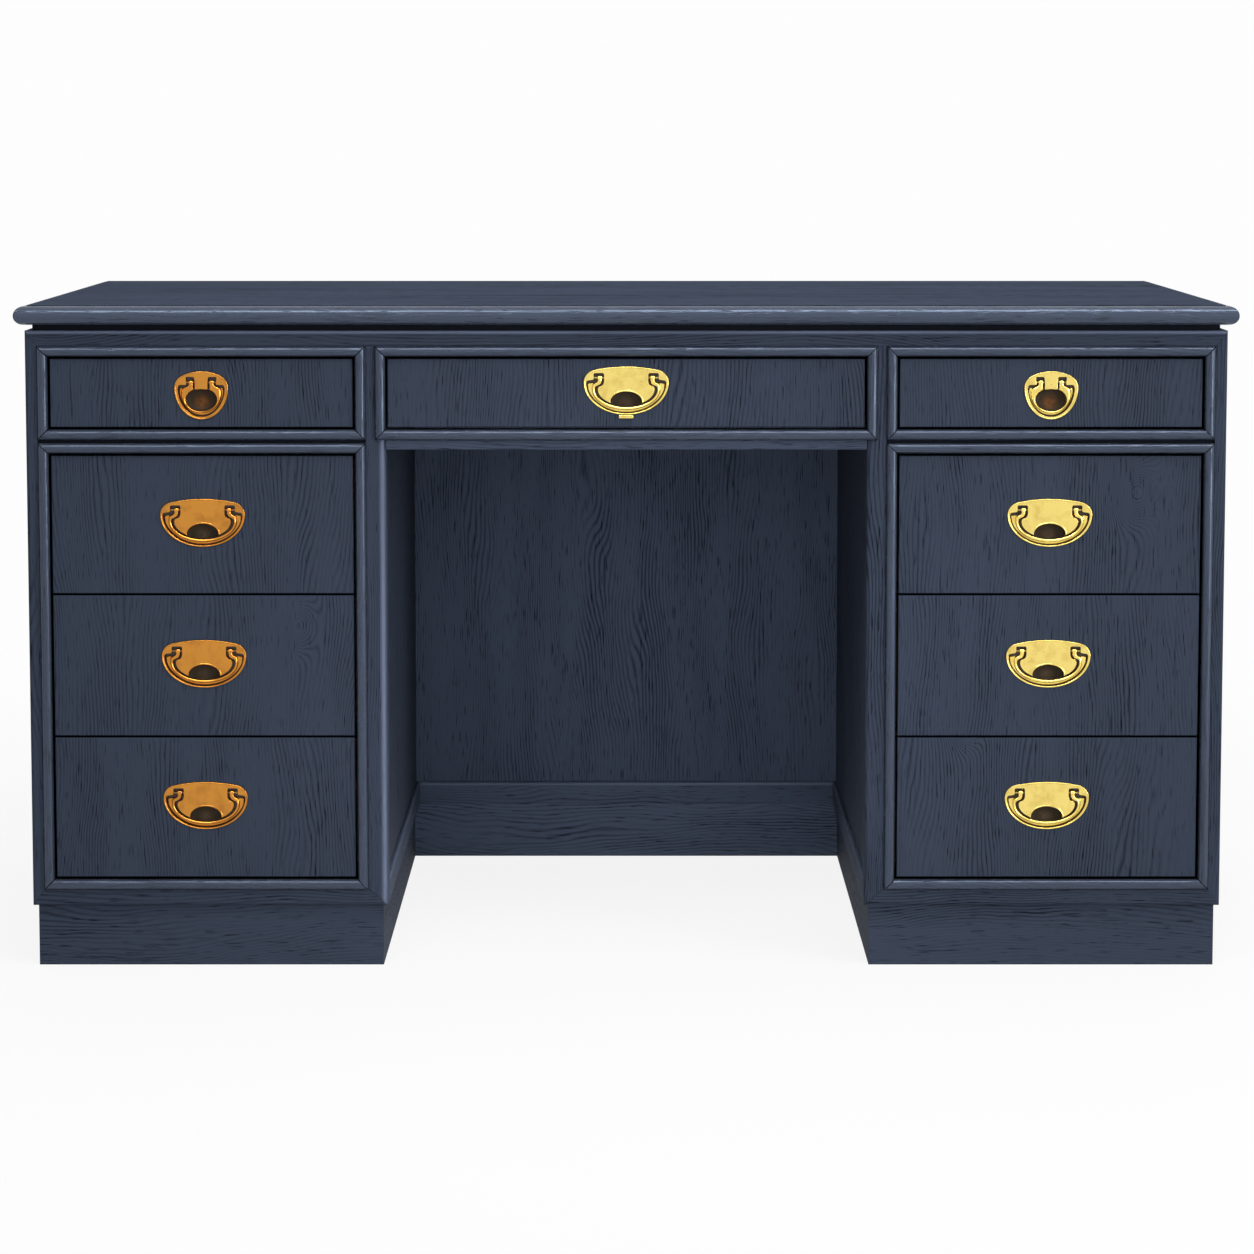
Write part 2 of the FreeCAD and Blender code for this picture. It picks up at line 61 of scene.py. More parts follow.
# %% Camera
picture_side = 1254
focal_pixels = 3251.9
eye = Vector((0, -3.967, 0.9636))
tilt = 0.085
shift_pixels = (0.8, -223.5)

lens = bpy.data.cameras.new("eye")
lens.sensor_width = 36
lens.lens = focal_pixels / picture_side * lens.sensor_width
lens.shift_x, lens.shift_y = (pixels / picture_side for pixels in shift_pixels)
camera = bpy.data.objects.new("eye", lens)
camera.location = eye
camera.rotation_euler = (math.pi / 2 - tilt, 0, 0)
bpy.context.collection.objects.link(camera)
bpy.context.scene.camera = camera
print("lens", round(lens.lens, 1), "mm")

# %% [markdown]
# ## Helpers for finishes
# A finish is a small graph of nodes. Short helpers keep the later cells readable: one adds a node in a
# single line, others do sums or read a place, noise, or a note that a piece carries. Textures read object
# coordinates in metres, so a grain line that is written as 4 mm wide is 4 mm wide on the board.

# %% Helpers for node graphs
def add(tree, kind, settings=None, inputs=None):
    """A new node. Among its inputs, sockets are linked and plain values are set."""
    node = tree.nodes.new(kind)
    for name, value in (settings or {}).items():
        setattr(node, name, value)
    for name, value in (inputs or {}).items():
        if isinstance(value, bpy.types.NodeSocket):
            tree.links.new(value, node.inputs[name])
        else:
            node.inputs[name].default_value = value
    return node


def calc(tree, operation, *values):
    return add(tree, "ShaderNodeMath", {"operation": operation}, dict(enumerate(values))).outputs[0]


def times(tree, first, second):
    return calc(tree, "MULTIPLY", first, second)


def vector_calc(tree, operation, *values):
    return add(tree, "ShaderNodeVectorMath", {"operation": operation}, dict(enumerate(values))).outputs


def object_place(tree):
    return add(tree, "ShaderNodeTexCoord").outputs["Object"]


def parts_of(tree, vector):
    return add(tree, "ShaderNodeSeparateXYZ", None, {0: vector}).outputs


def noted(tree, name):
    """A vector that a piece carries as a property of its own."""
    settings = {"attribute_type": "OBJECT", "attribute_name": name}
    return add(tree, "ShaderNodeAttribute", settings).outputs["Vector"]


def scaled_noise(tree, place, scale, detail=2.0):
    wide = vector_calc(tree, "MULTIPLY", place, scale)["Vector"]
    inputs = {"Vector": wide, "Scale": 1.0, "Detail": detail}
    return add(tree, "ShaderNodeTexNoise", None, inputs).outputs[0]


def swing(tree, noise, reach, middle=0.0):
    """Noise from 0 to 1, turned into a value that swings about a middle."""
    return calc(tree, "MULTIPLY_ADD", noise, 2 * reach, middle - reach)


def ramp(tree, value, low, high, to_low=0.0, to_high=1.0):
    inputs = {"Value": value, "From Min": low, "From Max": high, "To Min": to_low, "To Max": to_high}
    return add(tree, "ShaderNodeMapRange", {"interpolation_type": "SMOOTHSTEP"}, inputs).outputs[0]

# %% [markdown]
# ## Colours, edges and relief
# Colours are written as a screen shows them and turned into the linear values that light is reckoned in. A
# finish opens as an empty graph and closes in one surface. In between, a Bevel node can soften the look of
# sharp edges, and a Bump node gives relief that is too fine to be built.

# %% Helpers for surfaces
edge_samples = 4


def from_screen(red, green, blue):
    """A colour read off a screen, as the linear values that a shader takes."""
    channels = []
    for value in (red, green, blue):
        share = value / 255
        channels.append(share / 12.92 if share <= 0.04045 else ((share + 0.055) / 1.055) ** 2.4)
    return (*channels, 1.0)


def blend(tree, share, first, second):
    inputs = {"Factor": share, "A": first, "B": second}
    return add(tree, "ShaderNodeMix", {"data_type": "RGBA"}, inputs).outputs[2]


def soft_edge(tree, radius):
    return add(tree, "ShaderNodeBevel", {"samples": edge_samples}, {"Radius": radius}).outputs[0]


def relief(tree, height, strength, distance, normal=None):
    inputs = {"Height": height, "Strength": strength, "Distance": distance}
    if normal is not None:
        inputs["Normal"] = normal
    return add(tree, "ShaderNodeBump", None, inputs).outputs[0]


def open_finish(name):
    material = bpy.data.materials.new(name)
    material.use_nodes = True
    material.node_tree.nodes.clear()
    return material, material.node_tree


def close_finish(tree, inputs):
    surface = add(tree, "ShaderNodeBsdfPrincipled", None, inputs)
    add(tree, "ShaderNodeOutputMaterial", None, {"Surface": surface.outputs[0]})

# %% [markdown]
# ## The figure of oak
# Oak is open-grained: dark lines of early wood a few millimetres apart, which wander, close into pointed
# arches where the saw ran along a ring, and bend round knots. Between them lie short dashes, the pores. All
# of it runs along the board, so the pattern is drawn in a space of its own: across, into and along the
# grain. One value grows steadily across the board, is pushed about by slow noise, and its whole numbers are
# the lines. A knot is a soft hill added to the same value, whose contours close into rings.

# %% Open grain
ring_spacing = 0.0040
slant = 0.3
wander_reach = 0.06
ripple_reach = 0.0036
line_sharpness = 1.8
smallest_knot = 0.0001
knot_stretch = 1.25
knot_lift = 2.1


def make_open_grain():
    group = bpy.data.node_groups.new("open_grain", "ShaderNodeTree")
    for name in ("Place", "Knot"):
        group.interface.new_socket(name, in_out="INPUT", socket_type="NodeSocketVector")
    for name in ("Lines", "Pores", "Cloud", "Streaks"):
        group.interface.new_socket(name, in_out="OUTPUT", socket_type="NodeSocketFloat")
    start = group.nodes.new("NodeGroupInput").outputs
    place = start["Place"]
    across, depth, along = parts_of(group, place)

    knot_across, knot_along, knot_size = parts_of(group, start["Knot"])
    size = calc(group, "MAXIMUM", knot_size, smallest_knot)
    length = times(group, size, knot_stretch)
    off_across = calc(group, "DIVIDE", calc(group, "SUBTRACT", across, knot_across), size)
    off_along = calc(group, "DIVIDE", calc(group, "SUBTRACT", along, knot_along), length)
    away = calc(group, "ADD", times(group, off_across, off_across), times(group, off_along, off_along))
    fall = calc(group, "EXPONENT", times(group, away, -1.0))
    hill = times(group, fall, times(group, size, knot_lift))

    wander = swing(group, scaled_noise(group, place, (6.5, 6.5, 2.0)), wander_reach)
    ripple = swing(group, scaled_noise(group, place, (42, 42, 13)), ripple_reach)
    growth = calc(group, "ADD", across, times(group, depth, slant))
    value = calc(group, "ADD", growth, calc(group, "ADD", wander, ripple))
    rings = times(group, calc(group, "ADD", value, hill), 2 * math.pi / ring_spacing)
    wave = calc(group, "MULTIPLY_ADD", calc(group, "COSINE", rings), 0.5, 0.5)
    fading = ramp(group, scaled_noise(group, place, (30, 30, 5)), 0.3, 0.7, 0.25, 1.0)
    lines = times(group, calc(group, "POWER", wave, line_sharpness), fading)
    pores = ramp(group, scaled_noise(group, place, (620, 620, 42), 1.0), 0.58, 0.74)
    cloud = scaled_noise(group, place, (4, 4, 1.3))
    streaks = scaled_noise(group, place, (36, 36, 3.4), 3.0)
    outputs = {"Lines": lines, "Pores": pores, "Cloud": cloud, "Streaks": streaks}
    add(group, "NodeGroupOutput", None, outputs)
    return group


open_grain = make_open_grain()
print("open grain: a line about every", ring_spacing * 1000, "mm")

# %% [markdown]
# ## Which way a board runs
# Stiles, panels and drawer fronts stand with the grain upright, rails and plinth boards lie along it, and
# the sides of the desk run front to back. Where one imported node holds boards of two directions, a simple
# test on the place or the facing of a surface picks the direction. A board may carry a shift, so that
# neighbours cut from one texture don't match like wallpaper, and a knot of its own.

# %% Grain directions
grain_order = {"x": "ZYX", "y": "XZY", "z": "XYZ"}
squarely = 0.6


def turned(tree, place, direction):
    parts = dict(zip("XYZ", parts_of(tree, place)))
    inputs = {slot: parts[axis] for slot, axis in enumerate(grain_order[direction])}
    return add(tree, "ShaderNodeCombineXYZ", None, inputs).outputs[0]


def grain_place(tree, direction, other=None, test=None):
    place = object_place(tree)
    moved = vector_calc(tree, "ADD", place, noted(tree, "board_shift"))["Vector"]
    grain = turned(tree, moved, direction)
    if other:
        inputs = {0: test(tree, place), 4: grain, 5: turned(tree, moved, other)}
        grain = add(tree, "ShaderNodeMix", {"data_type": "VECTOR"}, inputs).outputs[1]
    return grain


def beyond(tree, value, limit):
    """1 where a value is further from zero than a limit, and 0 elsewhere."""
    return calc(tree, "GREATER_THAN", calc(tree, "ABSOLUTE", value), limit)


def facing(axis):
    def test(tree, place):
        normal = add(tree, "ShaderNodeTexCoord").outputs["Normal"]
        return beyond(tree, parts_of(tree, normal)["XYZ".index(axis)], squarely)
    return test


def beside(limit):
    def test(tree, place):
        return beyond(tree, parts_of(tree, place)[0], limit)
    return test

# %% [markdown]
# ## Blue stain
# The oak is stained a greyed navy. Stain sinks into early wood and pores, so the lines are darker than the
# ground, and both are a little lower than it: the same values drive colour, roughness and relief. The flat
# boards are nearly matt, because a glossier coat would mirror the white room and turn them grey when they
# are seen at a shallow angle. Sharp edges of real boards are eased with sandpaper, and a Bevel node bends
# the normals there, which catches a thin line of light and leaves the joinery untouched. Behind a given
# depth, in the narrow gaps round the drawers, the wood is painted nearly black, as painted shade.

# %% Stained oak
stain_light = from_screen(50, 57, 71)
stain_dark = from_screen(15, 17, 23)
# painted highlight: the colour of the pale lines painted along some edges
stain_rubbed = from_screen(112, 122, 146)
gap_shade_black = from_screen(5, 5, 7)
stain_glint = (0.6, 0.73, 1.0, 1.0)
gap_depth = -0.2892
gap_fade = 0.0006
back_face = 0.29
back_fade = 0.002
unevenness = 0.08

plain_look = {
    "pale": 1.0,
    "figure": 0.52,
    "wear": 0.8,
    "streaks": 0.0,
    "satin": 0.7,
    "shine": 0.1,
    "ease": 0.0009,
    "rubbed": None,
    "gap_from": 1.0,
    "gap_colour": gap_shade_black,
}


def stained_oak(name, direction, other=None, test=None, **wishes):
    """Oak with its grain along x, y or z, or along the other axis where the test gives 1."""
    look = {**plain_look, **wishes}
    material, tree = open_finish(name)
    oak_inputs = {"Place": grain_place(tree, direction, other, test), "Knot": noted(tree, "board_knot")}
    oak = add(tree, "ShaderNodeGroup", {"node_tree": open_grain}, oak_inputs)
    lines, pores, cloud, streaks = oak.outputs

    figure = times(tree, lines, look["figure"])
    depth = calc(tree, "ADD", figure, times(tree, pores, 0.5 * look["wear"]))
    tone = calc(tree, "ADD", depth, swing(tree, cloud, 0.25, 0.05))
    tone = calc(tree, "ADD", tone, swing(tree, streaks, 0.5 * look["streaks"]))
    spot = parts_of(tree, object_place(tree))
    before_back = ramp(tree, spot[1], back_face + back_fade, back_face)
    # painted light: pale makes the stain lighter, or darker below 1, in front of the back of the desk, to
    # stand in for how light falls there; the back stays plain
    lightened = [min(1.0, channel * look["pale"]) for channel in stain_light]
    ground = blend(tree, before_back, stain_light, lightened)
    colour = blend(tree, ramp(tree, tone, 0.0, 1.0), ground, stain_dark)

    # painted highlight: a pale line in patches along one axis, only in front of the back of the desk
    if look["rubbed"]:
        axis, middle, reach, share = look["rubbed"]
        off = calc(tree, "ABSOLUTE", calc(tree, "SUBTRACT", spot["XYZ".index(axis)], middle))
        patchy = ramp(tree, streaks, 0.2, 0.5, 0.6, 1.0)
        rub = times(tree, ramp(tree, off, reach, 0.0, 0.0, share), patchy)
        colour = blend(tree, times(tree, rub, before_back), colour, stain_rubbed)
    # painted shade: behind gap_from the colour turns to the dark gap colour
    gap = ramp(tree, spot[1], look["gap_from"], look["gap_from"] + gap_fade)
    colour = blend(tree, gap, colour, look["gap_colour"])

    rough = times(tree, pores, 0.16)
    rough = calc(tree, "ADD", rough, swing(tree, cloud, unevenness, look["satin"]))
    gloss = calc(tree, "MULTIPLY_ADD", gap, -look["shine"], look["shine"])
    sunk = times(tree, depth, -1.0)
    normal = relief(tree, sunk, 0.6, 0.0003, soft_edge(tree, look["ease"]))
    inputs = {"Base Color": colour, "Roughness": rough, "Normal": normal}
    close_finish(tree, {**inputs, "Specular IOR Level": gloss, "Specular Tint": stain_glint})
    return material


oak_level = stained_oak("oak_level", "x", ease=0.002)
oak_upright = stained_oak("oak_upright", "z")
# painted shade: the drawer front edges behind gap_depth are painted dark navy, and oak_shadow paints the
# neck strips and divider rails dark all over
oak_front = stained_oak("oak_front", "z", gap_from=gap_depth, gap_colour=from_screen(22, 26, 35))
oak_shadow = stained_oak("oak_shadow", "x", gap_from=-1.0, gap_colour=from_screen(24, 27, 34))
# painted light: pale 1.16 paints the worktop lighter than the fronts, as the top catches more light
worktop_look = {"figure": 0.4, "wear": 0.9, "satin": 0.95, "shine": 0.02, "pale": 1.16, "streaks": 0.9}
oak_worktop = stained_oak("oak_worktop", "x", **worktop_look)
print("gaps turn dark behind y =", gap_depth)

# %% [markdown]
# ## Boards painted lighter and painted highlight lines
# Around the knee space the boards are painted lighter, as painted light, though only in front of the back
# of the desk, which stays plain. Along a few edges a pale line is painted in patches, as a painted
# highlight.
# A highlight line has an axis, the place on that axis, how far it reaches and how strong it is.

# %% Boards round the knees
knee_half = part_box("kneehole_rail")[1][0]
# painted highlight lines: the top edge of the face rail, the knee edge of the left stile only, and the top
# edge of the rear base rail
rail_edge = ("Z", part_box("face_top_rail")[1][2] - 0.0012, 0.0035, 1.0)
knee_edge = ("X", -knee_half - 0.0035, 0.005, 0.6)
base_edge = ("Z", 0.0965, 0.003, 0.5)

# painted light: pale above 1 paints the knee rail, base rails, outer plinths, modesty panel and knee plinth
# lighter than the fronts
oak_top_rail = stained_oak("oak_top_rail", "x", ease=0.002, rubbed=rail_edge)
oak_knee_rail = stained_oak("oak_knee_rail", "x", pale=1.35, ease=0.003)
oak_knee_stile = stained_oak("oak_knee_stile", "z", ease=0.004, rubbed=knee_edge)
oak_plinth = stained_oak("oak_plinth", "x", "y", facing("X"), pale=1.1)
oak_base = stained_oak("oak_base", "x", "y", beside(knee_half), pale=1.8, ease=0.003, rubbed=base_edge)
oak_modesty = stained_oak("oak_modesty", "z", pale=1.5)
oak_knee_foot = stained_oak("oak_knee_foot", "x", pale=2.15)
print("half the knee space:", round(knee_half * 1000, 1), "mm")

# %% [markdown]
# ## The sides of the pedestals
# Each side is a frame: a rail above and below with the grain from front to back, and a stile and a panel
# that stand upright. The rails are the highest 40 mm and the lowest 28 mm of the case, so the height of a
# point tells.

# %% Side frames
side_rail_low = 0.099
side_rail_high = 0.693


def rail_of_side(tree, place):
    middle = (side_rail_low + side_rail_high) / 2
    height = calc(tree, "SUBTRACT", parts_of(tree, place)[2], middle)
    return beyond(tree, height, side_rail_high - middle)


oak_side = stained_oak("oak_side", "z", "y", rail_of_side)

# %% [markdown]
# ## Bare wood inside
# Drawer boxes are plain pale hardwood, planed and left bare. The same open grain serves, in a warm colour,
# with little relief. Boards that face left or right run from front to back, and the rest from side to side.
# The runners are of the same wood, but painted dark at the front as painted shade, where the gaps would
# show them.

# %% Drawer wood
wood_pale = from_screen(205, 170, 124)
wood_warm = from_screen(186, 147, 102)
wood_line = from_screen(140, 100, 62)
gap_shade_fade = 0.03


def bare_wood(name, direction, other=None, test=None, dark_until=-1.0):
    material, tree = open_finish(name)
    oak_inputs = {"Place": grain_place(tree, direction, other, test)}
    oak = add(tree, "ShaderNodeGroup", {"node_tree": open_grain}, oak_inputs).outputs
    figure = times(tree, oak["Lines"], 0.5)
    tone = calc(tree, "ADD", figure, times(tree, oak["Pores"], 0.3))
    warm = blend(tree, oak["Cloud"], wood_pale, wood_warm)
    back = parts_of(tree, object_place(tree))[1]
    # painted shade: in front of dark_until the wood turns black, where the gaps would show it
    unshaded = ramp(tree, back, dark_until, dark_until + gap_shade_fade)
    colour = blend(tree, unshaded, gap_shade_black, blend(tree, tone, warm, wood_line))
    normal = relief(tree, times(tree, tone, -1.0), 0.3, 0.0002)
    rough = swing(tree, oak["Cloud"], 0.1, 0.6)
    close_finish(tree, {"Base Color": colour, "Roughness": rough, "Normal": normal})
    return material


box_wood = bare_wood("box_wood", "x", "y", facing("X"))
runner_wood = bare_wood("runner_wood", "y", dark_until=-0.25)

# %% [markdown]
# ## Dressing the boards
# Each packed board keeps its shape and takes its finish. Drawer fronts get a shift each, so that their
# figures differ, and three of them get the knot that the real fronts show.

# %% Finish each board
finishes = {
    "top_panel": oak_worktop,
    "neck_strips": oak_shadow,
    "face_top_rail": oak_top_rail,
    "face_bottom_rails": oak_level,
    "divider_rails": oak_shadow,
    "outer_stiles": oak_upright,
    "inner_stiles": oak_knee_stile,
    "side_frame_left": oak_side,
    "side_frame_right": oak_side,
    "pedestal_backs": oak_upright,
    "pedestal_floors": oak_level,
    "kneehole_panels": oak_upright,
    "kneehole_rail": oak_knee_rail,
    "kneehole_base_rails": oak_base,
    "kneehole_plinth": oak_knee_foot,
    "modesty_panel": oak_modesty,
    "plinths": oak_plinth,
    "drawer_runners": runner_wood,
}
knots = {
    "left_middle": (-0.379, 0.396, 0.022),
    "right_high": (0.578, 0.549, 0.024),
    "right_low": (0.388, 0.277, 0.016),
}


def finish(name, material):
    node = nodes[name]
    node.data.materials.clear()
    node.data.materials.append(material)


for name, material in finishes.items():
    finish(name, material)

drawers = sorted(name[len("drawer_front_"):] for name in nodes if name.startswith("drawer_front_"))
for drawer in drawers:
    front = nodes["drawer_front_" + drawer]
    finish(front.name, oak_front)
    finish("drawer_box_" + drawer, box_wood)
    dice = random.Random(drawer)
    shift = (dice.uniform(-3, 3), dice.uniform(-1, 1), dice.uniform(-3, 3))
    front["board_shift"] = shift
    if drawer in knots:
        across, up, size = knots[drawer]
        front["board_knot"] = (across + shift[0], up + shift[2], size)
print("boards finished:", len(finishes), "drawers:", ", ".join(drawers))

# %% [markdown]
# ## Mitred mouldings
# The half-round beads and the nosing of the top are bars with one profile, cut at 45 degrees where they
# meet. A sweep along a curve would round the corners off, so each bar is built straight: every point of the
# profile becomes a line that is shorter by the distance it lies inside the frame. The cut ends are closed
# and stop 0.6 mm short, so that each mitre shows as a fine dark line.

# %% A bar between two mitres
mitre_gap = 0.0006
moulding_crease = 35


def object_from(build, name, matrix, crease, material):
    """A finished build as an object, smooth but for edges sharper than the crease, in degrees."""
    bmesh.ops.recalc_face_normals(build, faces=build.faces)
    mesh = bpy.data.meshes.new(name)
    build.to_mesh(mesh)
    build.free()
    mesh.transform(matrix)
    mesh.materials.append(material)
    mesh.shade_smooth()
    mesh.set_sharp_from_angle(angle=math.radians(crease))
    made = bpy.data.objects.new(name, mesh)
    bpy.context.collection.objects.link(made)
    return made


def mitred_bar(name, profile, length, matrix, material, body="case"):
    """profile holds (inward, out) points; the bar runs along its X, its outer edge at inward 0."""
    build = bmesh.new()
    ends = []
    for side in (-1, 1):
        ends.append([])
        for inward, out in profile:
            end = side * (length / 2 - inward - mitre_gap)
            ends[-1].append(build.verts.new((end, inward, out)))
    count = len(profile)
    for spot in range(count):
        after = (spot + 1) % count
        build.faces.new((ends[0][spot], ends[0][after], ends[1][after], ends[1][spot]))
    build.faces.new(ends[0][::-1])
    build.faces.new(ends[1])
    bar = object_from(build, name, matrix, moulding_crease, material)
    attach(bar, body)
    return bar


def frame_of_bars(stem, node, profile, low, high, place, materials):
    """Four bars round a rectangle: bottom, right, top, left."""
    wide = high[0] - low[0]
    tall = high[1] - low[1]
    middle = ((low[0] + high[0]) / 2, (low[1] + high[1]) / 2)
    for turn in range(4):
        length, reach = (wide, tall / 2) if turn % 2 == 0 else (tall, wide / 2)
        spin = Matrix.Rotation(turn * math.pi / 2, 4, "Z")
        matrix = place @ Matrix.Translation((*middle, 0)) @ spin @ Matrix.Translation((0, -reach, 0))
        bar = mitred_bar(f"{stem}_{turn}", profile, length, matrix, materials[turn % 2])
        dice = random.Random(bar.name)
        bar["board_shift"] = (dice.uniform(-2, 2), dice.uniform(-1, 1), dice.uniform(-2, 2))
        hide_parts(node)

# %% [markdown]
# ## Beads round the drawers
# A bead is 12 mm wide, its front half round, standing 5 mm out of the frame. Its drawing lies in the plane
# of the drawer fronts, so the frame of bars is turned upright: its second axis points up and its third out
# to the front. Each frame goes round one opening, a little larger than the drawers in it.

# %% Beads
bead_width = 0.012
bead_back = -0.274
bead_nose = -0.296
bead_facets = 28
drawer_gap = 0.0028
upright = Matrix(((1, 0, 0, 0), (0, 0, -1, 0), (0, 1, 0, 0), (0, 0, 0, 1)))

bead_radius = bead_width / 2
bead_profile = [(0, -bead_back)]
for step in range(bead_facets + 1):
    angle = math.pi * step / bead_facets
    inward = bead_radius - bead_radius * math.cos(angle)
    bead_profile.append((inward, bead_radius * math.sin(angle) - bead_nose - bead_radius))
bead_profile.append((bead_width, -bead_back))

# painted shade: pale 0.84 paints the beads darker than the flat boards
bead_look = {"figure": 0.4, "wear": 2.2, "satin": 0.23, "shine": 0.68, "pale": 0.84, "gap_from": gap_depth}
bead_oak = (
    stained_oak("oak_bead_level", "x", **bead_look),
    stained_oak("oak_bead_upright", "z", **bead_look),
)
openings = {
    "bead_left_upper": ("bead_frames_left", "top_left", "top_left"),
    "bead_left_stack": ("bead_frames_left", "left_low", "left_high"),
    "bead_centre": ("bead_frame_centre", "top_centre", "top_centre"),
    "bead_right_upper": ("bead_frames_right", "top_right", "top_right"),
    "bead_right_stack": ("bead_frames_right", "right_low", "right_high"),
}
margin = drawer_gap + bead_width
for stem, (node, lowest, highest) in openings.items():
    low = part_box("drawer_front_" + lowest)[0]
    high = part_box("drawer_front_" + highest)[1]
    corners = (low[0] - margin, low[2] - margin), (high[0] + margin, high[2] + margin)
    frame_of_bars(stem, node, bead_profile, *corners, upright, bead_oak)
print("bead frames:", len(openings))

# %% [markdown]
# ## The nosing of the top
# The edge of the top is a bullnose, 21 mm high, that stops 1 mm below the flat of the board and leaves a
# fine step there. It is four mitred bars like the beads, lying flat.

# %% Nosing
top_half_width = 0.692
top_half_depth = 0.305
nosing_width = 0.0135
nosing_low = 0.740
nosing_height = 0.021
nosing_facets = 36

nosing_radius = nosing_height / 2
nosing_profile = []
for step in range(nosing_facets + 1):
    angle = math.pi * step / nosing_facets
    inward = nosing_radius - nosing_radius * math.sin(angle)
    nosing_profile.append((inward, nosing_low + nosing_radius - nosing_radius * math.cos(angle)))
nosing_profile += [(nosing_width, nosing_low + nosing_height), (nosing_width, nosing_low)]

# painted shade: pale 0.84 paints the nosing darker than the flat boards
nosing_look = {"figure": 0.35, "wear": 2.8, "satin": 0.26, "shine": 0.85, "pale": 0.84}
nosing_oak = (
    stained_oak("oak_nosing_front", "x", **nosing_look),
    stained_oak("oak_nosing_side", "y", **nosing_look),
)
corners = (-top_half_width, -top_half_depth), (top_half_width, top_half_depth)
frame_of_bars("nosing", "top_nosing", nosing_profile, *corners, Matrix.Identity(4), nosing_oak)
print("nosing radius", nosing_radius * 1000, "mm")

# %% [markdown]
# ## Brass
# The pulls are cast brass. The left column has kept a deep orange patina, and the rest is a brighter
# yellow. Metal has no colour but its reflections, so the base colour is close to what a white room would
# show in it, with slow stains and small pits. Where fingers and polish don't reach, the brass has a brown
# to black patina, and the darkening there is also painted shade: it turns dark by depth behind the face of
# the plate, and browner in corners that an ambient occlusion node finds.

# %% Cast brass
plate_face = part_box("pull_plate_top_left")[0][1]
brass_pit = from_screen(110, 78, 40)
corner_shade_brown = from_screen(64, 42, 22)
hollow_dark_thin = from_screen(58, 50, 38)
hollow_dark_thick = from_screen(30, 25, 20)
corner_reach = 0.003
ragged = 0.0004


def cast_brass(name, bright, dull, recess):
    """recess holds two depths behind the plate's face, in metres: the brass turns dark between them, as
    patina and painted shade.
    """
    material, tree = open_finish(name)
    place = object_place(tree)
    stain = scaled_noise(tree, place, (70, 70, 70), 4.0)
    speck = scaled_noise(tree, place, (480, 480, 480), 2.0)
    colour = blend(tree, ramp(tree, stain, 0.4, 0.75), bright, dull)
    colour = blend(tree, ramp(tree, speck, 0.66, 0.82, 0.0, 0.45), colour, brass_pit)
    back = calc(tree, "MULTIPLY_ADD", speck, 2 * ragged, parts_of(tree, place)[1])
    # patina and painted shade: behind the plate's face the brass darkens with depth
    deep = ramp(tree, back, *(plate_face + depth + ragged for depth in recess))
    hollow_dark = blend(tree, ramp(tree, stain, 0.35, 0.7), hollow_dark_thin, hollow_dark_thick)
    colour = blend(tree, deep, colour, hollow_dark)
    # painted shade: browner in corners that ambient occlusion finds
    occlusion = add(tree, "ShaderNodeAmbientOcclusion", {"samples": 8}, {"Distance": corner_reach}).outputs["AO"]
    colour = blend(tree, ramp(tree, occlusion, 0.9, 0.4, 0.0, 0.9), colour, corner_shade_brown)
    rough = calc(tree, "ADD", swing(tree, stain, 0.07, 0.2), times(tree, deep, 0.3))
    metal = calc(tree, "MULTIPLY_ADD", deep, -0.7, 1.0)
    normal = relief(tree, speck, 0.1, 0.0001, soft_edge(tree, 0.0004))
    inputs = {"Base Color": colour, "Metallic": metal, "Roughness": rough, "Normal": normal}
    close_finish(tree, {**inputs, "Coat Weight": 0.25, "Coat Roughness": 0.12})
    return material


plate_recess = (0.0012, 0.0028)
bail_recess = (0.0044, 0.0056)
tones = {
    "bright": (from_screen(246, 220, 124), from_screen(229, 199, 105)),
    "antique": (from_screen(202, 136, 52), from_screen(181, 119, 45)),
}
plate_brass = {}
bail_brass = {}
for metal, tone in tones.items():
    plate_brass[metal] = cast_brass(metal + "_plate", *tone, plate_recess)
    bail_brass[metal] = cast_brass(metal + "_bail", *tone, bail_recess)
print("plate face at y =", round(plate_face, 4))

# %% [markdown]
# ## Inside the finger cups
# The bottom of a cup is nearly black, a dark patina made darker still as painted shade, with a bloom in the
# middle: brown in the wide cups and rusty in the small ones. Each cup carries its own middle as a note, and
# the bloom fades with the distance from it.

# %% Cup patina
# dark patina and painted shade: the near black inside the cups
cup_black = from_screen(42, 34, 22)
cup_speck = from_screen(50, 39, 27)
bloom_reach = 0.012


def cup_patina(name, bloom_colour):
    material, tree = open_finish(name)
    place = object_place(tree)
    cloud = scaled_noise(tree, place, (150, 150, 150), 3.0)
    speck = scaled_noise(tree, place, (900, 900, 900), 2.0)
    away = vector_calc(tree, "DISTANCE", place, noted(tree, "cup_middle"))["Value"]
    patchy = ramp(tree, cloud, 0.3, 0.6, 0.35, 1.0)
    bloom = times(tree, ramp(tree, away, bloom_reach, 0.0), patchy)
    colour = blend(tree, bloom, cup_black, bloom_colour)
    colour = blend(tree, ramp(tree, speck, 0.4, 0.7, 0.0, 0.5), colour, cup_speck)
    inputs = {"Base Color": colour, "Roughness": swing(tree, cloud, 0.15, 0.55)}
    close_finish(tree, {**inputs, "Normal": relief(tree, speck, 0.4, 0.0002), "Specular IOR Level": 0.15})
    return material


wide_patina = cup_patina("dark_cup", from_screen(76, 62, 47))
small_patina = cup_patina("rusty_cup", from_screen(116, 70, 28))
print("bloom reaches", bloom_reach * 1000, "mm")

# %% [markdown]
# ## Drawing a pull
# A pull is drawn flat, in millimetres: x from its middle, and a drop down from the top of the plate. Its
# curves are half ellipses and polygons with eased corners. Only the right half is written, from one point
# on the middle line to another, and the left half is its mirror image.

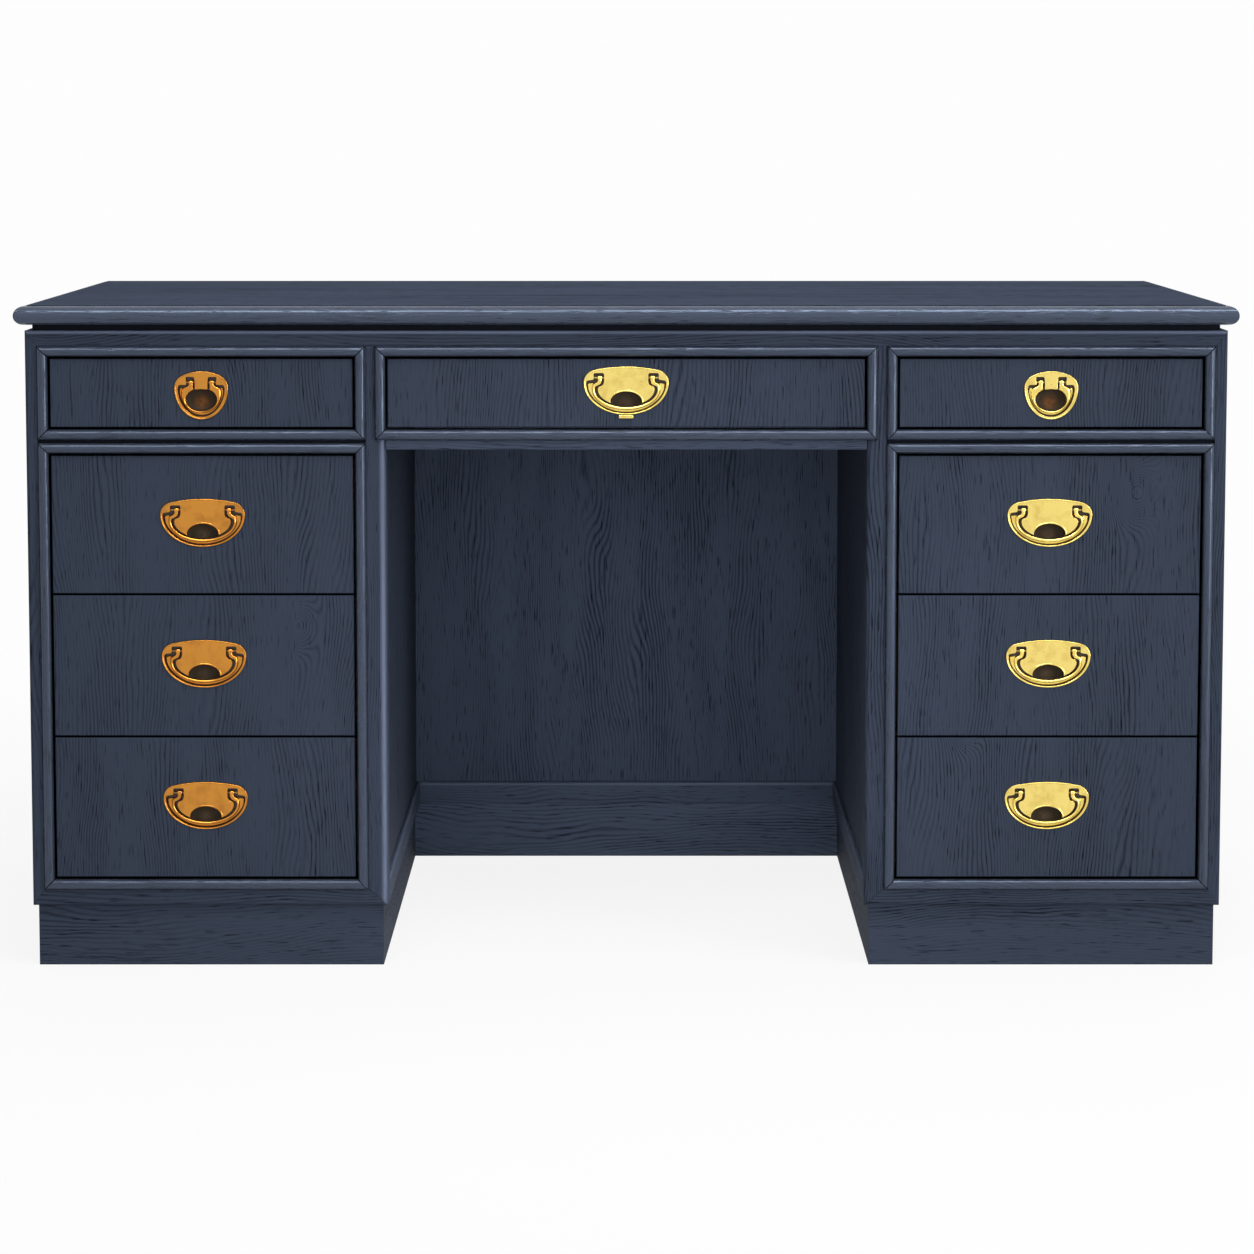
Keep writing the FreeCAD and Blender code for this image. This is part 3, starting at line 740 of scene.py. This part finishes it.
# %% Flat curves
def ellipse(half, drop, start, end, steps):
    """Part of an ellipse between two angles: 0 is right and 90 is down. half holds its half sizes."""
    points = []
    for step in range(steps + 1):
        angle = math.radians(start + (end - start) * step / steps)
        points.append(Vector((half[0] * math.cos(angle), drop + half[1] * math.sin(angle))))
    return points


def eased(points, radius, steps=5):
    """A line of straight runs with each corner turned into a curve."""
    corners = [Vector(point) for point in points]
    line = [corners[0]]
    for before, corner, after in zip(corners, corners[1:], corners[2:]):
        reach = min(radius, (before - corner).length / 2, (after - corner).length / 2)
        start = corner + (before - corner).normalized() * reach
        end = corner + (after - corner).normalized() * reach
        for step in range(steps + 1):
            share = step / steps
            line.append(start.lerp(corner, share).lerp(corner.lerp(end, share), share))
    return line + [corners[-1]]


def without_doubles(points, closeness=0.05):
    """The same points without those that nearly touch the last."""
    kept = points[:1]
    for point in points[1:]:
        if (point - kept[-1]).length > closeness:
            kept.append(point)
    return kept


def both_halves(right):
    """A right half and its mirror image, as one line."""
    right = without_doubles(right)
    left = [Vector((-point.x, point.y)) for point in reversed(right)]
    return without_doubles(right + left[1:])


def closed(right):
    """An outline from a right half that starts and ends on the middle line."""
    return both_halves(right)[:-1]


sharpest = 0.7


def shifted(loop, distance):
    """A closed outline pushed outward, or inward by a negative distance."""
    before, after = loop[-1:] + loop[:-1], loop[1:] + loop[:1]
    area = sum(here.cross(there) for here, there in zip(loop, after))
    moved = []
    for last, here, there in zip(before, loop, after):
        arriving = (here - last).normalized()
        along = (arriving + (there - here).normalized()).normalized()
        outward = Vector((along.y, -along.x)) * math.copysign(1, area)
        moved.append(here + outward * distance / max(sharpest, along.dot(arriving)))
    return moved


def evenly(points, count):
    """The same line as a given number of equal steps."""
    marks = [0.0]
    for here, there in zip(points, points[1:]):
        marks.append(marks[-1] + (there - here).length)
    line = []
    spot = 0
    for step in range(count + 1):
        goal = marks[-1] * step / count
        while spot < len(points) - 2 and marks[spot + 1] < goal:
            spot += 1
        share = (goal - marks[spot]) / (marks[spot + 1] - marks[spot])
        line.append(points[spot].lerp(points[spot + 1], share))
    return line

# %% [markdown]
# ## Solids from flat curves
# Three moves make all the pieces: rings of points at different depths that are bridged, a flat face with
# holes between rings, and a round cord along a line. Depths are measured back from the face of the plate.

# %% Rings, faces and cords
def ring(build, loop, depth):
    return [build.verts.new((point.x, depth, -point.y)) for point in loop]


def bridge(build, first, second, joined=True):
    count = len(first)
    for spot in range(count if joined else count - 1):
        after = (spot + 1) % count
        build.faces.new((first[spot], first[after], second[after], second[spot]))


def bridge_all(build, rings):
    for first, second in zip(rings, rings[1:]):
        bridge(build, first, second)


def capped(build, rings):
    bridge_all(build, rings)
    build.faces.new(rings[0])
    build.faces.new(rings[-1])


def profile_rings(build, loop, profile):
    """Bridged rings along a closed outline, from (outward, depth) pairs; returns the outer two."""
    rings = [ring(build, shifted(loop, outward), depth) for outward, depth in profile]
    bridge_all(build, rings)
    return rings[0], rings[-1]


def fill_between(build, *loops):
    edges = []
    for loop in loops:
        for here, there in zip(loop, loop[1:] + loop[:1]):
            edges.append(build.edges.get((here, there)) or build.edges.new((here, there)))
    bmesh.ops.triangle_fill(build, edges=edges, use_beauty=True)


def cord(build, line, radius, front, sides=10):
    """A round cord along an open line, its nearest side at a depth of front."""
    rings = []
    for last, here, there in zip(line[:1] + line[:-1], line, line[1:] + line[-1:]):
        along = (there - last).normalized()
        outward = Vector((along.y, -along.x))
        loop = []
        for side in range(sides):
            angle = 2 * math.pi * side / sides
            place = here + outward * radius * math.cos(angle)
            loop.append(build.verts.new((place.x, front + radius - radius * math.sin(angle), -place.y)))
        rings.append(loop)
    capped(build, rings)


def loft(build, inner, outer, profile):
    """A solid between two lines side by side; profile holds (share of the way across, depth) pairs."""
    rows = []
    for share, depth in profile:
        rows.append(ring(build, [here.lerp(there, share) for here, there in zip(inner, outer)], depth))
    for first, second in zip(rows, rows[1:] + rows[:1]):
        bridge(build, first, second, joined=False)
    for end in (0, -1):
        build.faces.new([row[end] for row in rows])


def turned_bar(build, stations, drop, depth, sides=20):
    """A bar turned about an axis from left to right; stations holds (x, radius) pairs."""
    rings = []
    for x, radius in stations:
        loop = []
        for side in range(sides):
            angle = 2 * math.pi * side / sides
            off, up = radius * math.cos(angle), radius * math.sin(angle)
            loop.append(build.verts.new((x, depth - off, up - drop)))
        rings.append(loop)
    capped(build, rings)

# %% [markdown]
# ## From a build to a piece
# A finished build is scaled to metres, set in its place and given its brass. It rides with the drawer or
# the bail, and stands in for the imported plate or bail.

# %% Cast pieces
casting_crease = 40
millimetre = 0.001


def cast_piece(stem, drawer, build, place, material, metal, part="plate"):
    """part is plate or bail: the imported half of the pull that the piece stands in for."""
    name = f"{stem}_{drawer}"
    body = f"{'bail' if part == 'bail' else 'drawer'}_{drawer}"
    node = f"pull_{part}_{drawer}"
    matrix = Matrix.Translation(place) @ Matrix.Scale(millimetre, 4)
    piece = object_from(build, name, matrix, casting_crease, material)
    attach(piece, body)
    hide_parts(node)
    return piece

# %% [markdown]
# ## The two patterns
# The wide pull and the small one have the same parts: a crowned plate, a channel for the bail, a pocket for
# each knuckle, a tongue of flat plate between them and a cup for the fingers. On the wide plate the cup
# cuts the tongue, so their curves meet, and the meeting point is found by halving an interval.

# %% Outlines of the plates
crown_steps = 16
shoulder_steps = 10
bow_steps = 26
halvings = 30


def plate_half(half_width, height, widest, crown, crown_half):
    """Right half of a plate: a shallow crown, a shoulder arc that ends upright, and a quarter ellipse."""
    rise = widest - crown
    inset = half_width - crown_half
    shoulder = (inset ** 2 + rise ** 2) / (2 * inset)
    crown_radius = (crown_half ** 2 + crown ** 2) / (2 * crown)
    points = []
    for step in range(crown_steps):
        x = crown_half * step / crown_steps
        points.append(Vector((x, crown_radius - math.sqrt(crown_radius ** 2 - x ** 2))))
    turn = math.atan2(rise, crown_half - half_width + shoulder)
    for step in range(shoulder_steps):
        angle = turn * (1 - step / shoulder_steps)
        x = half_width - shoulder + shoulder * math.cos(angle)
        points.append(Vector((x, widest - shoulder * math.sin(angle))))
    return points + ellipse((half_width, height - widest), widest, 0, 90, bow_steps)


def meeting_angle(first, second):
    """Where the first ellipse, followed from its top round the right side, leaves the second."""
    low, high = -90.0, 90.0
    for halving in range(halvings):
        middle = (low + high) / 2
        point = ellipse(*first, middle, middle, 1)[0]
        if (point.x / second[0][0]) ** 2 + ((point.y - second[1]) / second[0][1]) ** 2 < 1:
            low = middle
        else:
            high = middle
    return low


wide_cup = ((18.0, 11.7), 40.0)
wide_island = ((32.2, 18.5), 26.0)
wide_channel = ((45.5, 34.9), 18.5)
small_cup = ((17.0, 12.3), 32.5)
small_channel = ((26.7, 33.0), 19.0)

cup_end = meeting_angle(wide_cup, wide_island)
cup_corner = ellipse(*wide_cup, cup_end, cup_end, 1)[0]
island_start = math.degrees(math.acos(cup_corner.x / wide_island[0][0]))
print("cup and island meet at", [round(value, 1) for value in cup_corner])

# %% [markdown]
# ## The measures of both pulls
# All lines are in millimetres. Each pattern holds the plate, the cup and its lip, the hole for the bail,
# the place of the knuckle, the ends of its pocket, and three lines of the bail: both sides of its ridge,
# and its outer edge.

# %% Both patterns
wide_pocket = [
    (32.2, 25.4), (31.2, 22.9), (26.9, 21.7), (25.1, 18.4), (25.1, 7.5),
    (37.0, 7.6), (36.6, 15.1), (44.6, 16.2), (45.5, 18.6),
]
small_pocket = [
    (0, 20.3), (7.4, 21.0), (7.2, 14.0), (8.0, 6.6), (17.6, 6.6), (16.6, 15.6), (25.4, 15.8), (26.6, 19.2),
]
patterns = {
    "wide": {
        "plate": plate_half(48.3, 55.0, 18.5, 4.1, 37.0),
        "cup": wide_cup,
        "patina": wide_patina,
        "lip": ellipse((18.7, 12.4), 40.0, -90, cup_end - 2, 16),
        "hole": ellipse(*wide_cup, -90, cup_end, 16) + ellipse(*wide_island, island_start, 2, 14)
        + eased(wide_pocket, 2.2) + ellipse(*wide_channel, 2, 90, 32),
        "knuckle": 29.9,
        "pocket": (25.2, 36.8),
        "roll_inner": eased([(27.1, 13.0), (27.2, 18.2), (29.8, 21.6), (34.8, 22.6), (35.2, 26.6)], 4.0)
        + ellipse((35.2, 19.9), 26.0, 4, 90, 24),
        "roll_outer": eased([(32.7, 13.0), (32.6, 17.2), (35.4, 18.9), (38.6, 20.2), (38.8, 25.6)], 4.0)
        + ellipse((38.8, 23.6), 26.0, 4, 90, 24),
        "edge": eased([(35.0, 19.0), (42.6, 19.2), (44.5, 20.4)], 1.8)
        + ellipse((44.7, 34.2), 18.5, 6, 90, 24),
    },
    "small": {
        "plate": plate_half(30.6, 55.0, 19.0, 4.8, 21.3),
        "cup": small_cup,
        "patina": small_patina,
        "lip": [],
        "hole": eased(small_pocket, 1.6) + ellipse(*small_channel, 2, 90, 32),
        "knuckle": 11.7,
        "pocket": (7.6, 17.2),
        "roll_inner": eased([(8.7, 13.0), (8.7, 21.2), (9.6, 22.0)], 1.0)
        + ellipse((17.4, 12.7), 32.5, -54, 90, 26),
        "roll_outer": eased([(14.6, 13.0), (14.8, 16.4), (18.0, 17.8), (22.2, 20.0), (22.8, 25.0)], 4.0)
        + ellipse((22.8, 22.0), 25.8, 2, 90, 24),
        "edge": eased([(20.6, 20.4), (24.4, 18.5), (25.2, 21.0)], 1.0)
        + ellipse((25.3, 28.4), 22.0, 1, 90, 24),
    },
}

# %% [markdown]
# ## The plate
# The plate is thick enough to be let into the drawer front. Its face lies half a millimetre below a raised
# rim, and on the wide pattern the cup has a raised lip where the finger rolls over it. Below the face come
# the upright walls of the channel, its floor, and the bowl of the cup.

# %% Plates
field_depth = 0.55
rim_radius = 0.8
rim_inset = 0.05
rim_sides = 12
lip_radius = 0.85
lip_depth = 0.1
cup_sides = 48
channel_floor = 6.2
floor_inset = -0.5
plate_back = 11.0
bowl_overlap = 0.3
bowl_step = 0.02
outer_wall = ((0, plate_back), (0, 1.0), (-0.3, 0.7), (-0.9, field_depth))
channel_wall = ((0, channel_floor + 0.1), (0, 0.95), (0.12, 0.66), (0.4, field_depth))
bowl_profile = ((0, 0), (0.5, 1.2), (1.4, 2.3), (3.0, 3.1), (5.2, 3.6))


def cup_ring(pattern):
    return ellipse(*pattern["cup"], 0, 360, cup_sides)[:-1]


def make_plate(drawer, pattern, place, metal):
    outline = closed(pattern["plate"])
    build = bmesh.new()
    back, edge = profile_rings(build, outline, outer_wall)
    brink = profile_rings(build, closed(pattern["hole"]), channel_wall)[1]
    fill_between(build, edge, brink)
    fill_between(build, back)
    rim = []
    for step in range(rim_sides + 1):
        angle = 2 * math.pi * step / rim_sides
        inward = rim_radius * math.cos(angle) - rim_radius - rim_inset
        rim.append((inward, rim_radius - rim_radius * math.sin(angle)))
    profile_rings(build, outline, rim)
    if pattern["lip"]:
        cord(build, both_halves(pattern["lip"][::-1]), lip_radius, lip_depth)
    floor_edge = ring(build, shifted(outline, floor_inset), channel_floor)
    fill_between(build, floor_edge, ring(build, cup_ring(pattern), channel_floor))
    cast_piece("plate", drawer, build, place, plate_brass[metal], metal)


def make_bowl(drawer, pattern, place, metal):
    build = bmesh.new()
    brim = channel_floor + bowl_step
    profile = [(bowl_overlap - inward, brim + sunk) for inward, sunk in bowl_profile]
    bottom = profile_rings(build, cup_ring(pattern), profile)[1]
    fill_between(build, bottom)
    cup = cast_piece("cup", drawer, build, place, pattern["patina"], metal)
    half, drop = pattern["cup"]
    sunk = channel_floor + bowl_profile[-1][1]
    cup["cup_middle"] = (place[0], place[1] + sunk / 1000, place[2] - (drop + half[1] / 4) / 1000)

# %% [markdown]
# ## The bail
# A bail hangs on two pins through its knuckles. From each knuckle a round ridge bends outward and runs
# round the bow, and outside it a hollowed flank falls away to the edge, so that the whole lies flush in its
# channel when it isn't pulled. The pins are a piece of their own, which turns with the bail.

# %% Bails
hinge_drop = 13.0
hinge_depth = 3.1
pin_radius = 1.1
bail_steps = 60
flank_share = 0.3
flank_start = 0.6
knuckle_profile = ((-2.7, 1.9), (-2.3, 2.4), (-1.3, 2.7), (1.3, 2.7), (2.3, 2.4), (2.7, 1.9))
roll_profile = (
    (0, 5.6), (0, 2.5), (0.1, 1.3), (0.27, 0.5), (0.5, 0.15), (0.73, 0.5), (0.9, 1.3), (1, 2.5), (1, 5.6),
)
flank_profile = ((0, 5.7), (0, 3.0), (0.3, 3.2), (0.7, 3.4), (0.9, 3.7), (1, 4.5), (1, 5.7))


def make_bail(drawer, pattern, place, metal):
    build = bmesh.new()
    inner = evenly(without_doubles(pattern["roll_inner"]), bail_steps)
    outer = evenly(without_doubles(pattern["roll_outer"]), bail_steps)
    loft(build, both_halves(inner), both_halves(outer), roll_profile)

    edge = without_doubles(pattern["edge"])
    core = [there.lerp(here, flank_share) for here, there in zip(inner, outer)]
    core = [edge[0]] + [point for point in core if point.y > edge[0].y + flank_start]
    loft(build, both_halves(evenly(core, bail_steps)), both_halves(evenly(edge, bail_steps)), flank_profile)

    pins = bmesh.new()
    low, high = pattern["pocket"]
    for side in (-1, 1):
        x = pattern["knuckle"] * side
        turned_bar(build, [(x + offset, size) for offset, size in knuckle_profile], hinge_drop, hinge_depth)
        turned_bar(pins, [(low * side, pin_radius), (high * side, pin_radius)], hinge_drop, hinge_depth)
    cast_piece("pins", drawer, pins, place, plate_brass[metal], metal, part="bail")
    cast_piece("bail", drawer, build, place, bail_brass[metal], metal, part="bail")

# %% [markdown]
# ## Fitting the pulls
# Each packed plate tells where its pull goes: the middle of its width, the top of its crown and its face.
# The plate and the cup ride on the drawer, the bail on its own hinge. Under the centre plate there is also
# a small brass tab, flat on the drawer front.

# %% All nine pulls
tab_half = Vector((8.25, 1.9))
tab_drop = 57.2
tab_corner = 0.8
tab_profile = ((0, 1.5), (0, -0.4), (-0.25, -0.75), (-0.6, -0.88))


def make_tab(drawer, place, metal):
    top, bottom = tab_drop - tab_half.y, tab_drop + tab_half.y
    right = eased([(0, top), (tab_half.x, top), (tab_half.x, bottom), (0, bottom)], tab_corner)
    build = bmesh.new()
    back, front = profile_rings(build, closed(right), tab_profile)
    fill_between(build, front)
    fill_between(build, back)
    cast_piece("tab", drawer, build, place, plate_brass[metal], metal)


for drawer in drawers:
    low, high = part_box("pull_plate_" + drawer)
    place = ((low[0] + high[0]) / 2, plate_face, high[2])
    metal = "antique" if "left" in drawer else "bright"
    pattern = patterns["small" if drawer in ("top_left", "top_right") else "wide"]
    for make in (make_plate, make_bowl, make_bail):
        make(drawer, pattern, place, metal)
    if drawer == "top_centre":
        make_tab(drawer, place, metal)
print("pulls:", len(drawers))

# %% [markdown]
# ## A pale room
# The desk stands in a plain studio. A wide soft lamp above and in front draws the line of light on every
# level moulding, and a tall one far to the right does the same for the upright ones. Two more lamps, over
# the top and in front, and a faint one into the knee space only fill: nothing mirrors them.

# %% Lamps
def soft_lamp(name, place, target, size, power, mirrored=True):
    lamp = bpy.data.lights.new(name, "AREA")
    lamp.shape = "RECTANGLE"
    lamp.size, lamp.size_y = size
    lamp.energy = power
    holder = bpy.data.objects.new(name, lamp)
    holder.location = place
    holder.rotation_euler = (Vector(target) - Vector(place)).to_track_quat("-Z", "Y").to_euler()
    holder.visible_glossy = mirrored
    bpy.context.collection.objects.link(holder)
    return holder


soft_lamp("overhead", (0.6, -1.45, 3.2), (0, 0, 0.6), (4.5, 0.5), 90)
soft_lamp("over_the_top", (0.0, 0.8, 3.0), (0, 0.3, 0), (3.0, 2.0), 40, mirrored=False)
soft_lamp("right_strip", (3.3, -2.6, 0.9), (0, -0.2, 0.4), (0.9, 2.8), 102)
soft_lamp("front", (0.0, -6.0, 1.3), (0, 0, 0.4), (5.0, 2.6), 85, mirrored=False)
knees = soft_lamp("into_the_knees", (0.0, -2.6, 0.35), (0, 0.3, 0.28), (0.5, 0.3), 0.6, mirrored=False)
knees.data.spread = math.radians(26)
print("lamps:", len(bpy.data.lights))

# %% [markdown]
# ## Room and floor
# The room itself is white to the eye and in mirrors, but gives only a little light, so that shadows stay.
# The floor is matt and nearly white: it glows a little, so that it reads as paper, and it still takes the
# shadow of the desk. Further out the glow takes over, and the floor melts into the room.

# %% Room and floor
room_light = 0.2
room_white = 0.985
floor_half = 14.0
floor_matt = 0.09
floor_glow = 0.875
far_glow = 0.11
melting = (1.0, 2.2)


def seen_directly(tree):
    """1 for rays that the eye follows, straight, by a mirror or through glass, and 0 for soft light."""
    path = add(tree, "ShaderNodeLightPath").outputs
    mirrored = calc(tree, "MAXIMUM", path["Is Glossy Ray"], path["Is Transmission Ray"])
    return calc(tree, "MAXIMUM", path["Is Camera Ray"], mirrored)


room = bpy.data.worlds.new("room")
bpy.context.scene.world = room
room.use_nodes = True
tree = room.node_tree
tree.nodes.clear()
strength = calc(tree, "MULTIPLY_ADD", seen_directly(tree), 1.0 - room_light, room_light)
inputs = {"Color": (room_white, room_white, room_white, 1), "Strength": strength}
glow = add(tree, "ShaderNodeBackground", None, inputs)
add(tree, "ShaderNodeOutputWorld", None, {"Surface": glow.outputs[0]})

sides = ((-1, -1), (1, -1), (1, 1), (-1, 1))
floor_mesh = bpy.data.meshes.new("floor")
floor_mesh.from_pydata([(x * floor_half, y * floor_half, 0) for x, y in sides], [], [(0, 1, 2, 3)])
floor = bpy.data.objects.new("floor", floor_mesh)
bpy.context.collection.objects.link(floor)

paper, tree = open_finish("paper")
seen = seen_directly(tree)
distance = vector_calc(tree, "LENGTH", object_place(tree))["Value"]
away = ramp(tree, distance, *melting)
grey = calc(tree, "MULTIPLY_ADD", away, -floor_matt, floor_matt)
shade = add(tree, "ShaderNodeCombineColor", None, {0: grey, 1: grey, 2: grey}).outputs[0]
matt = add(tree, "ShaderNodeBsdfDiffuse", None, {"Color": blend(tree, seen, (0.6, 0.6, 0.6, 1), shade)})
level = calc(tree, "MULTIPLY_ADD", away, far_glow, floor_glow)
inputs = {"Color": (1, 1, 1, 1), "Strength": times(tree, seen, level)}
glow = add(tree, "ShaderNodeEmission", None, inputs)
both = add(tree, "ShaderNodeAddShader", None, {0: matt.outputs[0], 1: glow.outputs[0]})
add(tree, "ShaderNodeOutputMaterial", None, {"Surface": both.outputs[0]})
floor_mesh.materials.append(paper)

bpy.context.scene.view_settings.view_transform = "Standard"
